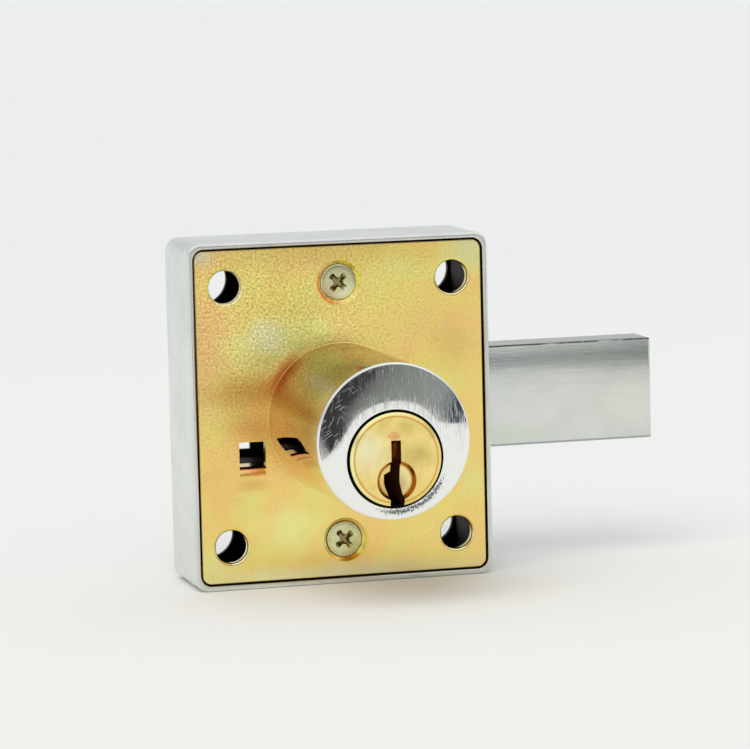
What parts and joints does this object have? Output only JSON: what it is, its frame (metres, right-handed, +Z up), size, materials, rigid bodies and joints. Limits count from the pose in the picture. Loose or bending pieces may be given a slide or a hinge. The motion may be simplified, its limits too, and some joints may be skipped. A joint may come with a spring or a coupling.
{
  "type": "drawer lock",
  "caption": "Surface-mounted drawer lock: square case with cover plate, round front barrel with an offset keyed plug, and a long rectangular bolt thrown sideways by half a turn of the key.",
  "frame": {"origin": "centre of the four mounting holes, on the front face of the cover plate", "axes": "+X to the right, the way the bolt comes out; +Y back from the drawer front into the case; +Z up"},
  "size_m": [0.0721, 0.0437, 0.0502],
  "materials": {
    "case_zinc": "pale nickel plate on a zinc casting, satin",
    "plate_passivated": "zinc plate with yellow iridescent passivation",
    "screw_passivated": "zinc plate with green-yellow passivation, turned head",
    "barrel_chrome": "bright chrome plate, face finely brushed",
    "plug_brass": "turned brass, polished",
    "pin_brass": "turned brass",
    "crank_steel": "zinc-plated steel",
    "bolt_nickel": "nickel-plated casting with drawn streaks",
    "spring_steel": "bright spring steel"
  },
  "bodies": {
    "case_body": {"case": "case_zinc", "cover_plate": "plate_passivated", "cover_screws": "screw_passivated", "side_window_blank": "case_zinc", "cylinder_barrel": "barrel_chrome", "chamber_strip": "barrel_chrome", "pin_spring_1": "spring_steel", "pin_spring_2": "spring_steel", "pin_spring_3": "spring_steel", "pin_spring_4": "spring_steel", "pin_spring_5": "spring_steel", "detent_spring": "spring_steel"},
    "plug_body": {"plug": "plug_brass", "drive_crank": "crank_steel", "crank_pin": "crank_steel", "crank_screw": "crank_steel"},
    "bolt_body": {"bolt": "bolt_nickel"},
    "key_pin_body_1": {"key_pin_1": "pin_brass"},
    "key_pin_body_2": {"key_pin_2": "pin_brass"},
    "key_pin_body_3": {"key_pin_3": "pin_brass"},
    "key_pin_body_4": {"key_pin_4": "pin_brass"},
    "key_pin_body_5": {"key_pin_5": "pin_brass"},
    "driver_pin_body_1": {"driver_pin_1": "pin_brass"},
    "driver_pin_body_2": {"driver_pin_2": "pin_brass"},
    "driver_pin_body_3": {"driver_pin_3": "pin_brass"},
    "driver_pin_body_4": {"driver_pin_4": "pin_brass"},
    "driver_pin_body_5": {"driver_pin_5": "pin_brass"}
  },
  "joints": [
    {"name": "plug_turn", "type": "hinge", "parent": "case_body", "child": "plug_body", "pos_m": [0, 0, -0.0034], "axis": [0, -1, 0], "range_deg": [0, 180], "deforming": ["detent_spring"]},
    {"name": "bolt_throw", "type": "slide", "parent": "case_body", "child": "bolt_body", "axis": [1, 0, 0], "range_m": [-0.027, 0]},
    {"name": "key_pin_drop_1", "type": "slide", "parent": "plug_body", "child": "key_pin_body_1", "axis": [0, 0, 1], "range_m": [-0.001, 0]},
    {"name": "key_pin_drop_2", "type": "slide", "parent": "plug_body", "child": "key_pin_body_2", "axis": [0, 0, 1], "range_m": [-0.001, 0]},
    {"name": "key_pin_drop_3", "type": "slide", "parent": "plug_body", "child": "key_pin_body_3", "axis": [0, 0, 1], "range_m": [-0.001, 0]},
    {"name": "key_pin_drop_4", "type": "slide", "parent": "plug_body", "child": "key_pin_body_4", "axis": [0, 0, 1], "range_m": [-0.001, 0]},
    {"name": "key_pin_drop_5", "type": "slide", "parent": "plug_body", "child": "key_pin_body_5", "axis": [0, 0, 1], "range_m": [-0.001, 0]},
    {"name": "driver_pin_lift_1", "type": "slide", "parent": "case_body", "child": "driver_pin_body_1", "axis": [0, 0, 1], "range_m": [0, 0.0012], "stiffness_N_per_m": 150, "springref_m": -0.001, "deforming": ["pin_spring_1"]},
    {"name": "driver_pin_lift_2", "type": "slide", "parent": "case_body", "child": "driver_pin_body_2", "axis": [0, 0, 1], "range_m": [0, 0.0012], "stiffness_N_per_m": 150, "springref_m": -0.001, "deforming": ["pin_spring_2"]},
    {"name": "driver_pin_lift_3", "type": "slide", "parent": "case_body", "child": "driver_pin_body_3", "axis": [0, 0, 1], "range_m": [0, 0.0012], "stiffness_N_per_m": 150, "springref_m": -0.001, "deforming": ["pin_spring_3"]},
    {"name": "driver_pin_lift_4", "type": "slide", "parent": "case_body", "child": "driver_pin_body_4", "axis": [0, 0, 1], "range_m": [0, 0.0012], "stiffness_N_per_m": 150, "springref_m": -0.001, "deforming": ["pin_spring_4"]},
    {"name": "driver_pin_lift_5", "type": "slide", "parent": "case_body", "child": "driver_pin_body_5", "axis": [0, 0, 1], "range_m": [0, 0.0012], "stiffness_N_per_m": 150, "springref_m": -0.001, "deforming": ["pin_spring_5"]}
  ],
  "couplings": [
    {"joint": "plug_turn", "follows": "bolt_throw", "rad_per_m": -116.35}
  ]
}
